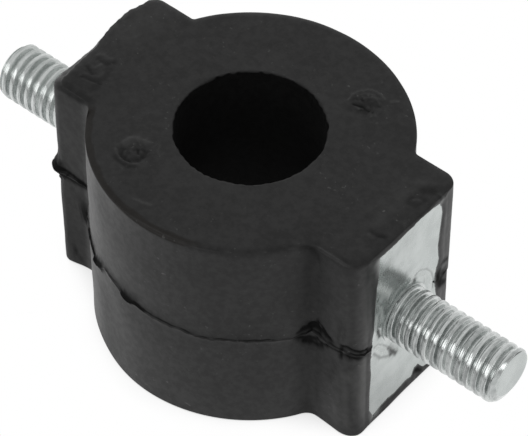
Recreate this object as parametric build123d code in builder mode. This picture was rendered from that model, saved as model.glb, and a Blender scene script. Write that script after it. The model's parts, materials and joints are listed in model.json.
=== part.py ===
from build123d import *
import math
import os

# Anti-vibration ring mount
#
# A thick rubber ring works as the spring. A square pad is moulded on at each end of one
# diameter, and in each pad's end face sits a zinc-plated steel plate with a headed stud.
# All sizes are in millimetres.
#
# The origin is where the axis of the ring's bore crosses the line of the two studs.
# +X runs along the front stud, and +Z along the bore. The mould parts at height zero.

# Rubber ring
ring_diameter = 31.2
ring_height = 24.6
bore_diameter = 14.8
bore_rim_chamfer = 0.3

# Rubber pads at the two ends of the ring
plate_face_reach = 19.1  # from the bore's axis to the outer face of each plate
pad_width = 15.0
pad_corner_radius = 1.9
junction_radius = 1.1  # hollow corner between a pad's side and the ring
edge_bevel_width = 0.7  # shallow bevel all round the top and the bottom, measured inward
edge_bevel_drop = 0.15  # how far the bevel falls towards the edge

# Flash squeezed out where the two halves of the mould meet
flash_reach = 0.3
flash_thickness = 0.24

# Feed marks on the top face, evenly spaced round the ring
gate_count = 2
gate_circle_radius = 11.5
gate_angle = 55.0
gate_mark_diameter = 3.0
gate_mark_depth = 0.22
gate_stub_diameter = 1.7
gate_stub_height = 0.14

# Steel plates, bonded into the pads
plate_width = 10.6
plate_height = 23.8
plate_thickness = 2.0
plate_corner_radius = 0.5

# Headed steel studs, for a coarse thread of 6 mm
stud_diameter = 6.0
neck_diameter = 6.5  # the plain neck that is pressed into the plate's hole
stud_projection = 12.5  # from the plate's outer face to the stud's tip
stud_tip_chamfer = 0.6
head_diameter = 9.4
head_thickness = 1.4
head_chamfer = 0.3

# Worked out from the sizes above
ring_radius = ring_diameter / 2
half_height = ring_height / 2
plate_back = plate_face_reach - plate_thickness
head_back = plate_back - head_thickness
stud_radius = stud_diameter / 2
neck_radius = neck_diameter / 2
stud_tip = plate_face_reach + stud_projection
head_radius = head_diameter / 2

# Which way along X each end of the mount faces
ends = {"front": 1, "rear": -1}

os.makedirs("parts", exist_ok=True)

# Steel inserts: one plate and one stud for each end
inserts = []

for end, side in ends.items():
    # The plate is a flat stamping with a hole for the stud's neck.
    outward = Plane(origin=(side * plate_back, 0, 0), x_dir=(0, side, 0), z_dir=(side, 0, 0))
    with BuildPart() as plate:
        with BuildSketch(outward):
            RectangleRounded(plate_width, plate_height, plate_corner_radius)
            Circle(neck_radius, mode=Mode.SUBTRACT)
        extrude(amount=plate_thickness)
    plate.part.label = f"{end}_plate"
    export_step(plate.part, f"parts/{end}_plate.step")
    inserts.append(plate.part)

    # The stud is one piece. Its flat head bears on the back of the plate, its neck fills
    # the plate's hole, and the threaded length stands out of the plate.
    lengthwise = Plane(origin=(0, 0, 0), x_dir=(side, 0, 0), z_dir=(0, -side, 0))
    with BuildPart() as stud:
        with BuildSketch(lengthwise):
            with BuildLine():
                Polyline(
                    (head_back, 0),
                    (head_back, head_radius - head_chamfer),
                    (head_back + head_chamfer, head_radius),
                    (plate_back, head_radius),
                    (plate_back, neck_radius),
                    (plate_face_reach, neck_radius),
                    (plate_face_reach, stud_radius),
                    (stud_tip - stud_tip_chamfer, stud_radius),
                    (stud_tip, stud_radius - stud_tip_chamfer),
                    (stud_tip, 0),
                    close=True,
                )
            make_face()
        revolve(axis=Axis.X)
    stud.part.label = f"{end}_stud"
    export_step(stud.part, f"parts/{end}_stud.step")
    inserts.append(stud.part)

# Rubber body: the ring and both pads are one moulding, seen from above as one outline
with BuildSketch() as outline:
    Circle(ring_radius)
    RectangleRounded(2 * plate_face_reach, pad_width, pad_corner_radius)
    junctions = outline.vertices().filter_by(
        lambda corner: math.isclose(math.hypot(corner.X, corner.Y), ring_radius, abs_tol=1e-4)
    )
    fillet(junctions, junction_radius)

with BuildPart() as rubber_body:
    with BuildSketch(Plane.XY.offset(-half_height)):
        add(outline.sketch)
    extrude(amount=ring_height)
    for which_end in (0, -1):
        flat_end = rubber_body.faces().sort_by(Axis.Z)[which_end]
        chamfer(flat_end.edges(), edge_bevel_width, edge_bevel_drop, reference=flat_end)

    # The flash is a thin fin round the sides. It ends at the plates, which seat flat.
    with BuildSketch(Plane.XY.offset(-flash_thickness / 2)):
        add(outline.sketch)
        offset(amount=flash_reach)
        Rectangle(
            2 * plate_face_reach,
            ring_diameter + 2 * flash_reach,
            mode=Mode.INTERSECT,
        )
    extrude(amount=flash_thickness)

    # Each feed mark is a shallow round sink with the torn stub of the feed left in it.
    with BuildSketch(Plane.XY.offset(half_height)):
        with PolarLocations(gate_circle_radius, gate_count, start_angle=gate_angle):
            Circle(gate_mark_diameter / 2)
    extrude(amount=-gate_mark_depth, mode=Mode.SUBTRACT)
    with BuildSketch(Plane.XY.offset(half_height - gate_mark_depth)):
        with PolarLocations(gate_circle_radius, gate_count, start_angle=gate_angle):
            Circle(gate_stub_diameter / 2)
    extrude(amount=gate_stub_height)

    # The bore goes right through, and its rims are slightly broken.
    Hole(bore_diameter / 2)
    rims = rubber_body.edges().filter_by(
        lambda edge: edge.geom_type == GeomType.CIRCLE
        and math.isclose(edge.radius, bore_diameter / 2, abs_tol=1e-4)
    )
    chamfer(rims, bore_rim_chamfer)

    # The rubber is moulded round the steel, so it has the plates' and heads' own form.
    add(inserts, mode=Mode.SUBTRACT)

rubber_body.part.label = "rubber_body"
export_step(rubber_body.part, "parts/rubber_body.step")
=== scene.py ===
# %% [markdown]
# # Anti-vibration ring mount
# This lesson dresses the CAD model of a small rubber mount in Blender. The mount is a thick
# black rubber ring with a pad moulded on at each side. A zinc-plated plate sits in the end of
# each pad, and a threaded stud stands out of each plate.
# The CAD model gives every size. Here the rubber gets its moulded edges, its parting line and
# its feed marks, the studs get their threads, and everything gets its finish.

import json
import math

import bmesh
import bpy
import numpy as np
from mathutils import Matrix, Vector

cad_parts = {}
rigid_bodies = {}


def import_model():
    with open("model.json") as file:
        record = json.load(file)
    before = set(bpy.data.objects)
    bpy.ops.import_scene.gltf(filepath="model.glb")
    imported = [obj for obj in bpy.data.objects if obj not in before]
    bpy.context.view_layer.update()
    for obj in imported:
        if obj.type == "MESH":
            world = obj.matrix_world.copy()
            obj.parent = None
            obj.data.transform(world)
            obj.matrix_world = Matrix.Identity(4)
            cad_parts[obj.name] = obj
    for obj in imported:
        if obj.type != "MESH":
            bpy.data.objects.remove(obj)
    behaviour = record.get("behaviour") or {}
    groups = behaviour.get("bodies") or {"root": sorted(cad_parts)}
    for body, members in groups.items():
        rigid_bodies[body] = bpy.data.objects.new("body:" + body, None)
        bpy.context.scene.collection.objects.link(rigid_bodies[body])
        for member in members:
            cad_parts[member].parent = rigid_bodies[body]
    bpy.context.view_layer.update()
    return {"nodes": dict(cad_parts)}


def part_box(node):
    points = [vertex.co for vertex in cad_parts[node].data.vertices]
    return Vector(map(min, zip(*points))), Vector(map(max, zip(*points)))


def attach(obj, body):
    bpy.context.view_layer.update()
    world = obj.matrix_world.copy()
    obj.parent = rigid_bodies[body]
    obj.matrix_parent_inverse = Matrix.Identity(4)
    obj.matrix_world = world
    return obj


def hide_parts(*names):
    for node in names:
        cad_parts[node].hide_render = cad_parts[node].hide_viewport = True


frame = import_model()
print("CAD nodes:", ", ".join(sorted(frame["nodes"])))

# %% [markdown]
# Every length below is written in millimetres, as on the drawing, and Blender works in
# metres. The sizes that the CAD model already holds are read from its boxes, so the dressed
# pieces can't drift away from the solids under them.

# %% Sizes taken from the CAD model
MM = 0.001


def box_mm(node):
    low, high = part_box(node)
    return np.array(low) / MM, np.array(high) / MM


body_high = box_mm("rubber_body")[1]
plate_low, plate_high = box_mm("front_plate")
stud_low, stud_high = box_mm("front_stud")

HALF_HEIGHT = body_high[2]
END_FACE = plate_high[0]
PLATE_BACK = plate_low[0]
PLATE_HALF_WIDTH = plate_high[1]
PLATE_HALF_HEIGHT = plate_high[2]
HEAD_BACK = stud_low[0]
HEAD_RADIUS = stud_high[1]
STUD_TIP = stud_high[0]
FLASH_REACH = 0.3
RING_RADIUS = body_high[1] - FLASH_REACH

print(f"ring radius {RING_RADIUS:.2f}, half height {HALF_HEIGHT:.2f}, end face at {END_FACE:.2f}")

# %% [markdown]
# The camera comes first, because every later choice is judged through it. It looks down at
# the mount from the front, over the stud on the right. A constraint could aim it, but its
# place, its turn and its long lens were worked out from the outlines of the ring, the bore
# and the studs, and as fixed numbers they give the same view on every run.

# %% Camera
CAMERA_PLACE = Vector((140.049, -164.368, 240.659)) * MM
CAMERA_TURN = math.radians(40.09)
CAMERA_RISE = math.radians(48.14)
LENS_LENGTH = 227.36

lens = bpy.data.cameras.new("camera")
lens.lens = LENS_LENGTH
lens.sensor_width = 36
lens.sensor_fit = "HORIZONTAL"
lens.clip_start = 0.01
lens.clip_end = 20
camera = bpy.data.objects.new("camera", lens)
turned_camera = Matrix.Rotation(CAMERA_TURN, 4, "Z")
raised_camera = Matrix.Rotation(math.pi / 2 - CAMERA_RISE, 4, "X")
camera.matrix_world = Matrix.Translation(CAMERA_PLACE) @ turned_camera @ raised_camera
bpy.context.scene.collection.objects.link(camera)
bpy.context.scene.camera = camera
print(f"camera {CAMERA_PLACE.length / MM:.0f} mm from the middle of the ring")

# %% [markdown]
# All pieces are made as loops of points with faces between them, like the hoops of a
# barrel. Cylinders and cubes with modifiers would do for plain shapes. Loops keep control
# of where each row of points lies, so fine rows can sit just where the real piece has fine
# detail. A small class keeps the points and faces while the loops are laid. Every loop here
# lies across the studs' line, so it has one distance x, or one for each point, and a pair
# (y, z) for each point.

# %% Helpers that turn loops of points into a piece


class Hoops:
    """The points and faces of a piece while its loops are laid."""

    def __init__(self, points=np.empty((0, 3)), faces=()):
        self.blocks = [points]
        self.count = len(points)
        self.faces = list(faces)

    def lay(self, x, flat, side=1):
        """Add a loop of points, on the front or on the rear side, and return their numbers."""
        self.blocks.append(np.column_stack([np.broadcast_to(x, len(flat)), flat]) * (side, side, 1))
        self.count += len(flat)
        return list(range(self.count - len(flat), self.count))

    def join(self, loops):
        """Add the faces between each loop and the next."""
        for a, b in zip(loops, loops[1:]):
            self.faces.extend(zip(a, a[1:] + a[:1], b[1:] + b[:1], b))

    def close(self, loop, x, side=1):
        """Close a loop with a fan of triangles round a point on the axis."""
        middle = self.lay(x, np.zeros((1, 2)), side)
        self.faces.extend(zip(loop, loop[1:] + loop[:1], middle * len(loop)))

    def points(self):
        return np.concatenate(self.blocks)


def make_piece(name, points_mm, faces, sharp_degrees=38.0):
    mesh = bpy.data.meshes.new(name)
    mesh.from_pydata((np.asarray(points_mm) * MM).tolist(), [], faces)
    mesh.validate()
    work = bmesh.new()
    work.from_mesh(mesh)
    bmesh.ops.recalc_face_normals(work, faces=work.faces)
    work.to_mesh(mesh)
    work.free()
    mesh.shade_smooth()
    mesh.set_sharp_from_angle(angle=math.radians(sharp_degrees))
    piece = bpy.data.objects.new(name, mesh)
    bpy.context.scene.collection.objects.link(piece)
    print(f"{name}: {len(mesh.vertices)} points, {len(mesh.polygons)} faces")
    return piece


def write_mask(piece, name, values):
    """Store one value for each point, for a material to read by that name."""
    mask = piece.data.attributes.new(name, "FLOAT", "POINT")
    mask.data.foreach_set("value", np.asarray(values, np.float32))


# %% [markdown]
# Real moulded and rolled surfaces are never perfectly true. A Displace modifier could stir
# them up, but a small function can be used in any shape and on any mask. This ripple is a
# sum of a few waves that run in random directions. It is smooth, it needs no picture, and
# with a fixed seed it comes out the same on every run.

# %% A seeded ripple over points in space, and soft curves
WAVE_SPREAD = (0.7, 1.5)
RIPPLE_SIZE = 0.6


def ripple(points, wavelength, seed, waves=14):
    """A smooth random height for each point, about -1 to 1, with bumps one wavelength wide."""
    draw = np.random.RandomState(seed)
    points = np.asarray(points, float)
    total = np.zeros(points.shape[:-1])
    for _ in range(waves):
        direction = draw.normal(size=points.shape[-1])
        direction /= np.linalg.norm(direction)
        length = wavelength * draw.uniform(*WAVE_SPREAD)
        total += np.sin(points @ direction * 2 * np.pi / length + draw.uniform(0, 2 * np.pi))
    return total / math.sqrt(waves / 2) * RIPPLE_SIZE


def smooth(value, low, high):
    """0 below low, 1 above high, and a soft step between them."""
    t = np.clip((value - low) / (high - low), 0, 1)
    return t * t * (3 - 2 * t)


def bell(value, middle, width):
    """1 in the middle, falling softly to almost 0 two widths away."""
    return np.exp(-(((value - middle) / width) ** 2))


def read_curve(places, value):
    """Read a curve that is written as pairs (place, value)."""
    return np.interp(value, *zip(*places))


print("ripple of one point:", round(float(ripple(np.array([[1.0, 2.0, 3.0]]), 2.0, 1)[0]), 3))

# %% [markdown]
# Folds, nicks and scratches could be sculpted, or left to a bump, which stays flat at an
# outline. Here they are drawn as strokes, the way a pencil would draw them, so that each
# one can be moved or taken out by hand. A stroke is written as its half width, its height
# and its tone, and then the points that it runs through. The height is how far the surface
# rises or sinks along it, in millimetres. The tone is how much lighter or darker the surface
# is there, from 1 to -1. It is partly real dust and torn, matt rubber. In many strokes it is
# painted highlight and painted shade, standing in for the light on the stroke's slopes.

# %% Strokes on a surface
STROKE_REACH = 2.6
STROKE_WOBBLE, WOBBLE_LENGTH = 0.22, 0.7


def distance_to_chain(u, v, chain):
    """Distance from each point (u, v) to a chain of points."""
    best = np.full(u.shape, 1e9)
    links = list(zip(chain, chain[1:])) or [(chain[0], chain[0])]
    for (au, av), (bu, bv) in links:
        du, dv = bu - au, bv - av
        length = du * du + dv * dv
        t = np.clip(((u - au) * du + (v - av) * dv) / length, 0, 1) if length else 0 * u
        best = np.minimum(best, np.hypot(u - au - t * du, v - av - t * dv))
    return best


def draw_strokes(u, v, strokes, seed=7):
    """Height and tone that a list of strokes gives each point."""
    height, tone = np.zeros(u.shape), np.zeros(u.shape)
    wobble = ripple(np.stack([u, v], -1), WOBBLE_LENGTH, seed)
    for half_width, rise, shade, *chain in strokes:
        us, vs = zip(*chain)
        reach = STROKE_REACH * half_width
        near = (u > min(us) - reach) & (u < max(us) + reach)
        near &= (v > min(vs) - reach) & (v < max(vs) + reach)
        if not near.any():
            continue
        away = distance_to_chain(u[near], v[near], chain) * (1 + STROKE_WOBBLE * wobble[near])
        share = bell(away, 0, half_width)
        height[near] += rise * share
        tone[near] += shade * share
    return height, np.clip(tone, -1, 1)


print("strokes ready")

# %% [markdown]
# ## The studs
# Each stud has a rolled thread, 6 mm across with 1 mm from crest to crest. A thread could be
# a stack of rings, but a real one climbs, and here the climb shows against the flat end. So
# the grid of points is sheared: one turn round the stud moves a row on by exactly one pitch,
# where it meets the next row. Rolling leaves broad, slightly rounded crests and narrow roots,
# and the two sides of a crest meet in a fine seam.

# %% Thread profile
THREAD_PITCH = 1.0
THREAD_DEPTH = 0.43
CREST_RADIUS = 2.98
CREST_SHARE = 0.40
ROOT_SHARE = 0.10
CROWN_DROP = 0.02
SEAM_PLACE, SEAM_WIDTH, SEAM_DEPTH = 0.05, 0.03, 0.016


def thread_depth(phase):
    """How deep the thread is at each phase of a turn, with the crest at phase 0."""
    distance = np.abs((phase + 0.5) % 1.0 - 0.5)
    flank = smooth(distance, CREST_SHARE / 2, 0.5 - ROOT_SHARE / 2)
    crown = CROWN_DROP * np.clip(distance / (CREST_SHARE / 2), 0, 1) ** 2
    seam = SEAM_DEPTH * bell((phase - SEAM_PLACE + 0.5) % 1.0, 0.5, SEAM_WIDTH)
    return THREAD_DEPTH * flank + crown + seam


print("depth at crest, flank and root:", [round(float(thread_depth(p)), 2) for p in (0, 0.25, 0.5)])

# %% [markdown]
# Both ends of the thread could be cut by a boolean, which leaves thin slivers of faces.
# Here two simple rules do it. Points past the tip are pulled back to the tip's plane, and
# the tip's bevel is a cone that no point may stand out of. The bevel lies a little off the
# stud's axis, as on the real studs, so its middle is given by itself.

# %% The thread as a sheared grid
ROWS_PER_TURN = 30
AROUND = 108
THREAD_START = END_FACE - 0.01
RUN_IN = 1.02 * THREAD_PITCH
ROLL_WAVE, ROLL_STREAK = 0.012, 0.004
FOOT_RADIUS = 2.6
RIM_BEAD = 0.07
TIP_BEVEL = 0.35


def reach_from_axis(angle, radius, middle):
    """How far from the stud's axis a circle round another middle lies, at each angle."""
    along = middle[0] * np.cos(angle) + middle[1] * np.sin(angle)
    return along + np.sqrt(np.maximum(radius**2 - middle[0] ** 2 - middle[1] ** 2 + along**2, 0))


def thread_points(seed, tip, tip_radius, tip_middle):
    """The thread's points, row by row."""
    rows = int((tip - THREAD_START + 2 * THREAD_PITCH) / THREAD_PITCH * ROWS_PER_TURN)
    start = THREAD_START - RUN_IN
    row = np.arange(rows)[:, None]
    column = np.arange(AROUND)[None, :]
    along = start + (row / ROWS_PER_TURN + column / AROUND) * THREAD_PITCH
    angle = 2 * np.pi * column / AROUND + 0 * row
    across, upward = np.cos(angle), np.sin(angle)
    phase = (start + row / ROWS_PER_TURN * THREAD_PITCH) % 1.0 + 0 * column
    slow = np.stack([along * 0.35, across * 3, upward * 3], -1)
    streaks = np.stack([along * 2.0, across * 3, upward * 3], -1)
    radius = CREST_RADIUS - thread_depth(phase)
    radius = radius + ROLL_WAVE * ripple(slow, 2.6, seed) + ROLL_STREAK * ripple(streaks, 0.8, seed + 1)
    flat_reach = reach_from_axis(angle, tip_radius, tip_middle)
    gap = np.maximum(CREST_RADIUS - flat_reach, 0.05)
    to_tip = np.maximum(tip - RIM_BEAD - along, 0)
    radius = np.minimum(radius, flat_reach + gap * to_tip / np.minimum(gap, TIP_BEVEL))
    radius = np.where(along <= THREAD_START, FOOT_RADIUS, radius)
    along = np.clip(along, THREAD_START, tip - RIM_BEAD)
    return np.stack([along, radius * across, radius * upward], -1)


def thread_faces(rows):
    """The last column of a row meets the first column of the row one turn further on."""
    number = np.arange((rows + ROWS_PER_TURN) * AROUND).reshape(-1, AROUND)
    beside = np.column_stack([number[:rows, 1:], number[ROWS_PER_TURN:, 0]])
    quads = [number[: rows - 1], beside[:-1], beside[1:], number[1:rows]]
    quads = np.stack(quads, -1).reshape(-1, 4)
    return quads[quads.max(axis=1) < rows * AROUND].tolist()


print(f"{AROUND} points round the thread, {ROWS_PER_TURN} rows to a turn")

# %% [markdown]
# Behind the thread the same kind of loops go on as the plain neck in the plate and as the head
# that bears on the plate's back. In front they go over a rounded rim onto a flat that is a
# little dished, as sawing and rolling leave it.

# %% Build a stud
NECK_RADIUS = 3.25
BACK_PROFILE = [
    (THREAD_START, FOOT_RADIUS),
    (THREAD_START, NECK_RADIUS),
    (PLATE_BACK, NECK_RADIUS),
    (PLATE_BACK, HEAD_RADIUS),
    (HEAD_BACK + 0.3, HEAD_RADIUS),
    (HEAD_BACK, HEAD_RADIUS - 0.3),
    (HEAD_BACK, HEAD_RADIUS * 0.5),
]
TIP_PROFILE = [(0, RIM_BEAD), (0.02, 0.035), (0.055, 0.01), (0.11, 0), (0.35, 0), (1.2, 0.01)]
TIP_DISH = 0.01
SAME_PLACE, NO_LENGTH = 2e-6, 1e-7  # in metres, as bmesh takes them


def build_stud(name, side, seed, tip, tip_radius, tip_middle, painted_top_light):
    grid = thread_points(seed, tip, tip_radius, tip_middle)
    stud = Hoops(grid.reshape(-1, 3), thread_faces(len(grid)))
    turn = 2 * np.pi * np.arange(AROUND) / AROUND
    way = np.column_stack([np.cos(turn), np.sin(turn)])
    behind = [stud.lay(x, way * radius) for x, radius in BACK_PROFILE]
    stud.join(behind)
    stud.close(behind[-1], HEAD_BACK)
    front = []
    for inward, back in TIP_PROFILE:
        radius = reach_from_axis(turn, tip_radius - inward, tip_middle)
        front.append(stud.lay(tip - back, way * radius[:, None]))
    stud.join(front)
    stud.close(front[-1], tip - TIP_DISH)

    piece = make_piece(name, stud.points() * (side, side, 1), stud.faces)
    work = bmesh.new()
    work.from_mesh(piece.data)
    bmesh.ops.remove_doubles(work, verts=work.verts, dist=SAME_PLACE)
    bmesh.ops.dissolve_degenerate(work, edges=work.edges, dist=NO_LENGTH)
    bmesh.ops.recalc_face_normals(work, faces=work.faces)
    for face in work.faces:
        face.material_index = int(face.calc_center_median().x * side > (tip - 2 * TIP_DISH) * MM)
    work.to_mesh(piece.data)
    work.free()
    piece.data.shade_smooth()
    piece.data.set_sharp_from_angle(angle=math.radians(50))
    levels = np.array([vertex.co.z for vertex in piece.data.vertices]) / MM
    # Haze on each stud's upper side is painted light: it makes that side paler and flatter in tone,
    # standing in for the bright reflections from above.
    write_mask(piece, "haze", painted_top_light * smooth(levels, 0.2, 1.8))
    return piece


front_thread = build_stud("front_threaded_stud", 1, 11, STUD_TIP, 2.40, (0.22, 0.43), 0.15)
rear_thread = build_stud("rear_threaded_stud", -1, 12, STUD_TIP - 0.62, 2.5, (0.0, 0.1), 0.45)

# %% [markdown]
# The rear end isn't quite true. Its upper edge leans inward, most of all at the near
# corner, and the rubber film follows the plate. A lattice could bend both. One small
# function is easier to follow, and because the plate and the film both use it, they stay
# together.

# %% Lean the rear end's upper edge inward
EDGE_LEAN = [
    (-8, 0.5), (-7.4, 0.76), (-5, 0.82), (-3.4, 0.68), (-2, 0.58), (-1.2, 0.6), (-0.3, 0.26),
    (0.6, 0.08), (1.5, -0.12), (2.3, -0.2), (4.5, -0.34), (5.6, 0.0), (6.6, 0.2), (8, 0.1),
]


def push_rear_edge(points):
    """Move points near the rear end's upper edge towards the ring, in place."""
    push = read_curve(EDGE_LEAN, points[:, 1]) + 0.03 * ripple(points[:, 1:2], 0.7, 61)
    push *= smooth(points[:, 2], 11.3, 12.1) * smooth(-points[:, 0], 16.3, 18.6)
    points[:, 0] += push


print(f"the edge leans inward by up to {max(t[1] for t in EDGE_LEAN):.2f} mm")

# %% [markdown]
# ## The plates
# Each plate is a flat stamping, but the stud was pressed into it, and that left marks: a
# round sink a little wider than the stud's head, a swollen collar at the stud, two small
# pits, and a drop-shaped tool mark below. A flat face with a bump would lose them where the
# light grazes it. So the face is made of loops that go from the stud's hole out to the
# plate's edge, dense enough to carry these marks in the surface itself. The points of the
# strokes are places across and up the plate's face.

# %% Marks on a plate
# The tones of these strokes colour the plate. The pits and the tool mark are dark marks. The light lobe
# below and left of the stud is a painted highlight, where a raised patch would catch the light, and the
# dark curves on either side of it are painted shade. The other light and dark patches beside the stud
# are simply lighter or darker.
PLATE_STROKES = [
    (0.34, -0.05, -1, (1.28, 3.5)), (0.22, -0.06, -1, (-3.95, 0.89), (-3.76, -0.16)),
    (0.36, -0.05, -1, (-2.3, -3.3), (-1.7, -4.2), (-1.2, -4.9)),
    (0.15, 0.03, -0.45, (-4.6, -0.95), (-3.9, -1.2), (-3, -2.1), (-2.4, -2.9)),
    (0.2, -0.03, -0.55, (-4.6, -1.9), (-3.6, -3.4), (-2.6, -4.1), (-1.9, -4.6)),
    (0.3, 0, 0.5, (-4.1, -1.5), (-3.2, -2.7), (-2.4, -3.7)),
    (0.5, 0.03, 0.8, (-4.3, 7.5), (-3.4, 6.3), (-2.6, 5.1)),
    (0.38, -0.03, 0.55, (-4, 5.2), (-3.6, 3.6), (-3.5, 2)), (0.3, 0, 0.7, (-4.4, 3.4), (-4.5, 1.6)),
    (0.13, -0.04, -0.4, (1.46, 4), (2.02, 4.25), (3.05, 3.6), (3.9, 2.4), (4.45, 0.8), (4.3, -0.2)),
    (0.13, 0, -0.3, (2.7, 0.9), (2.95, 2.6)),
    (0.3, 0.04, 0.35, (2.2, 3.5), (3.2, 2.6), (3.75, 1.3)),
    (0.2, -0.03, -0.3, (-3.6, 4.6), (-2.9, 2.4)), (0.16, 0, -0.45, (-4.35, 5.6), (-3.7, 4.3)),
    (0.55, -0.02, -0.5, (-3.3, 8.6), (-1.8, 6.9), (-0.5, 5.2)),
    (1.3, 0, -0.1, (-1.9, 9.6), (-0.6, 10)),
]
SINK_DEPTH, SINK_INNER, SINK_OUTER = 0.07, 4.2, 4.85
COLLAR_HEIGHT, COLLAR_RADIUS, COLLAR_WIDTH = 0.05, 3.55, 0.22


def plate_relief(y, z, seed):
    """Height of the plate's face above flat, in millimetres."""
    place = np.stack([y, z], -1)
    distance = np.hypot(y, z) + 0.12 * ripple(place, 3.0, seed + 2)
    height = -SINK_DEPTH * (1 - smooth(distance, SINK_INNER, SINK_OUTER))
    height += COLLAR_HEIGHT * bell(distance, COLLAR_RADIUS, COLLAR_WIDTH)
    height += draw_strokes(y, z, PLATE_STROKES)[0]
    height += 0.006 * ripple(place, 5.0, seed) + 0.002 * ripple(place, 1.3, seed + 1)
    return height


print(f"{len(PLATE_STROKES)} strokes on a plate")

# %% Build a plate
PLATE_LOOPS = 60
PLATE_AROUND = 260
PLATE_BEVEL = 0.12
CROWDING = 1.25


def build_plate(name, side, seed):
    turn = 2 * np.pi * (np.arange(PLATE_AROUND) + 0.5) / PLATE_AROUND
    ray = np.column_stack([np.cos(turn), np.sin(turn)])
    half = np.array([PLATE_HALF_WIDTH, PLATE_HALF_HEIGHT])
    hole = ray * NECK_RADIUS
    edge = ray * ((half - PLATE_BEVEL) / np.maximum(np.abs(ray), 1e-6)).min(axis=1, keepdims=True)
    on_side = np.abs(edge) >= half - PLATE_BEVEL - 0.01
    rim = edge + PLATE_BEVEL * np.sign(edge) * on_side
    plate = Hoops()
    loops = []
    for k in range(PLATE_LOOPS + 1):
        share = (k / PLATE_LOOPS) ** CROWDING
        flat = hole * (1 - share) + edge * share
        loops.append(plate.lay(END_FACE + plate_relief(flat[:, 0], flat[:, 1], seed), flat))
    for x, flat in ((END_FACE - PLATE_BEVEL, rim), (PLATE_BACK, rim), (PLATE_BACK, hole)):
        loops.append(plate.lay(x, flat))
    plate.join(loops + loops[:1])
    points = plate.points()
    tone = draw_strokes(points[:, 1], points[:, 2], PLATE_STROKES)[1]
    points = points * (side, side, 1)
    if side < 0:
        push_rear_edge(points)
    piece = make_piece(name, points, plate.faces)
    # Stain takes the dark tones: pits, marks and painted shade. Haze takes the light tones: bloom and
    # painted highlight.
    write_mask(piece, "stain", np.clip(-tone, 0, 1))
    write_mask(piece, "haze", np.clip(tone, 0, 1))
    return piece


front_face_plate = build_plate("front_bonded_plate", 1, 21)
rear_face_plate = build_plate("rear_bonded_plate", -1, 22)

# %% [markdown]
# ## The rubber body
# The ring and both pads are one moulding. A cylinder joined with a box by a boolean would
# give the form, but not the soft hollow where they meet, nor rows that follow it. So the
# outline, seen from above, is walked once anticlockwise: pad end, pad corner, pad side,
# hollow junction, ring. Each stretch gets its own number of columns, so corners and
# junctions have enough points. The four corners and junctions differ a little, as they do
# on a real moulding that was torn out of its mould.

# %% The outline, as columns of points
PAD_HALF_WIDTH = 7.5
CORNER_RADII = {"front_far": 1.6, "rear_far": 1.5, "rear_near": 1.4, "front_near": 1.9}
JUNCTION_RADII = {"front_far": 0.9, "rear_far": 0.55, "rear_near": 1.1, "front_near": 1.6}
END_COLUMNS, CORNER_COLUMNS, PAD_COLUMNS, JUNCTION_COLUMNS, RING_COLUMNS = 26, 16, 14, 12, 78


def straight(count, start, end, normal):
    """Places on a straight stretch, without its last one, and the outward normal of each."""
    share = np.arange(count)[:, None] / count
    return np.array(start) * (1 - share) + np.array(end) * share, np.tile(normal, (count, 1))


def arc(count, middle, radius, start, end, outward=1):
    """The same for an arc round a middle. On a hollow arc, outward is -1."""
    angle = start + (end - start) * np.arange(count) / count
    way = np.stack([np.cos(angle), np.sin(angle)], -1)
    return np.array(middle) + radius * way, outward * way


def quarter_outline(corner, junction):
    """One quarter, from the middle of a pad's end to the top of the ring, with outward normals."""
    middle_x, middle_y = END_FACE - corner, PAD_HALF_WIDTH - corner
    hollow_y = PAD_HALF_WIDTH + junction
    hollow_x = math.sqrt((RING_RADIUS + junction) ** 2 - hollow_y**2)
    ring_angle = math.atan2(hollow_y, hollow_x)
    square = math.pi / 2
    stretches = (
        straight(END_COLUMNS, (END_FACE, 0), (END_FACE, middle_y), (1, 0)),
        arc(CORNER_COLUMNS, (middle_x, middle_y), corner, 0, square),
        straight(PAD_COLUMNS, (middle_x, PAD_HALF_WIDTH), (hollow_x, PAD_HALF_WIDTH), (0, 1)),
        arc(JUNCTION_COLUMNS, (hollow_x, hollow_y), junction, -square, ring_angle - math.pi, -1),
        arc(RING_COLUMNS, (0, 0), RING_RADIUS, ring_angle, square),
    )
    return [np.concatenate(part) for part in zip(*stretches)]


def whole_outline():
    place, normal = [], []
    quarters = (
        ("front_far", 1, 1, False),
        ("rear_far", -1, 1, True),
        ("rear_near", -1, -1, False),
        ("front_near", 1, -1, True),
    )
    for corner, flip_x, flip_y, backwards in quarters:
        p, n = quarter_outline(CORNER_RADII[corner], JUNCTION_RADII[corner])
        if backwards:
            p = np.concatenate([p[1:], [(0, RING_RADIUS)]])[::-1]
            n = np.concatenate([n[1:], [(0, 1)]])[::-1]
        place.append(p * (flip_x, flip_y))
        normal.append(n * (flip_x, flip_y))
    return np.concatenate(place), np.concatenate(normal)


outline, outline_normal = whole_outline()
FAR_SWELL = [(-19, 0.25), (-8, 0.17), (0, 0.06), (7, 0.02), (11, 0.10), (13, 0.14), (19, 0.14)]
swell = read_curve(FAR_SWELL, outline[:, 0])
swell *= smooth(outline[:, 1], 3.0, 8.0) * smooth(outline_normal[:, 1], 0.1, 0.6)
outline = outline + outline_normal * swell[:, None]
COLUMNS = len(outline)
polar = np.degrees(np.arctan2(outline[:, 1], outline[:, 0]))
steps = np.hypot(*(np.roll(outline, -1, 0) - outline).T)
walked = np.concatenate([[0], np.cumsum(steps)[:-1]])
print(f"outline: {COLUMNS} columns, {steps.sum():.1f} mm round")

# %% [markdown]
# The mould parts at half height. Rubber squeezes out there and leaves a thin, wandering
# line of flash, torn off by hand. Where the ring runs into the front pad it bulges and
# curls. A thin band laid round the body would look stuck on, because real flash grows out
# of the skin, so the body's own rows are bent to carry it. The wandering is written as
# height against the angle round the ring.

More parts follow.
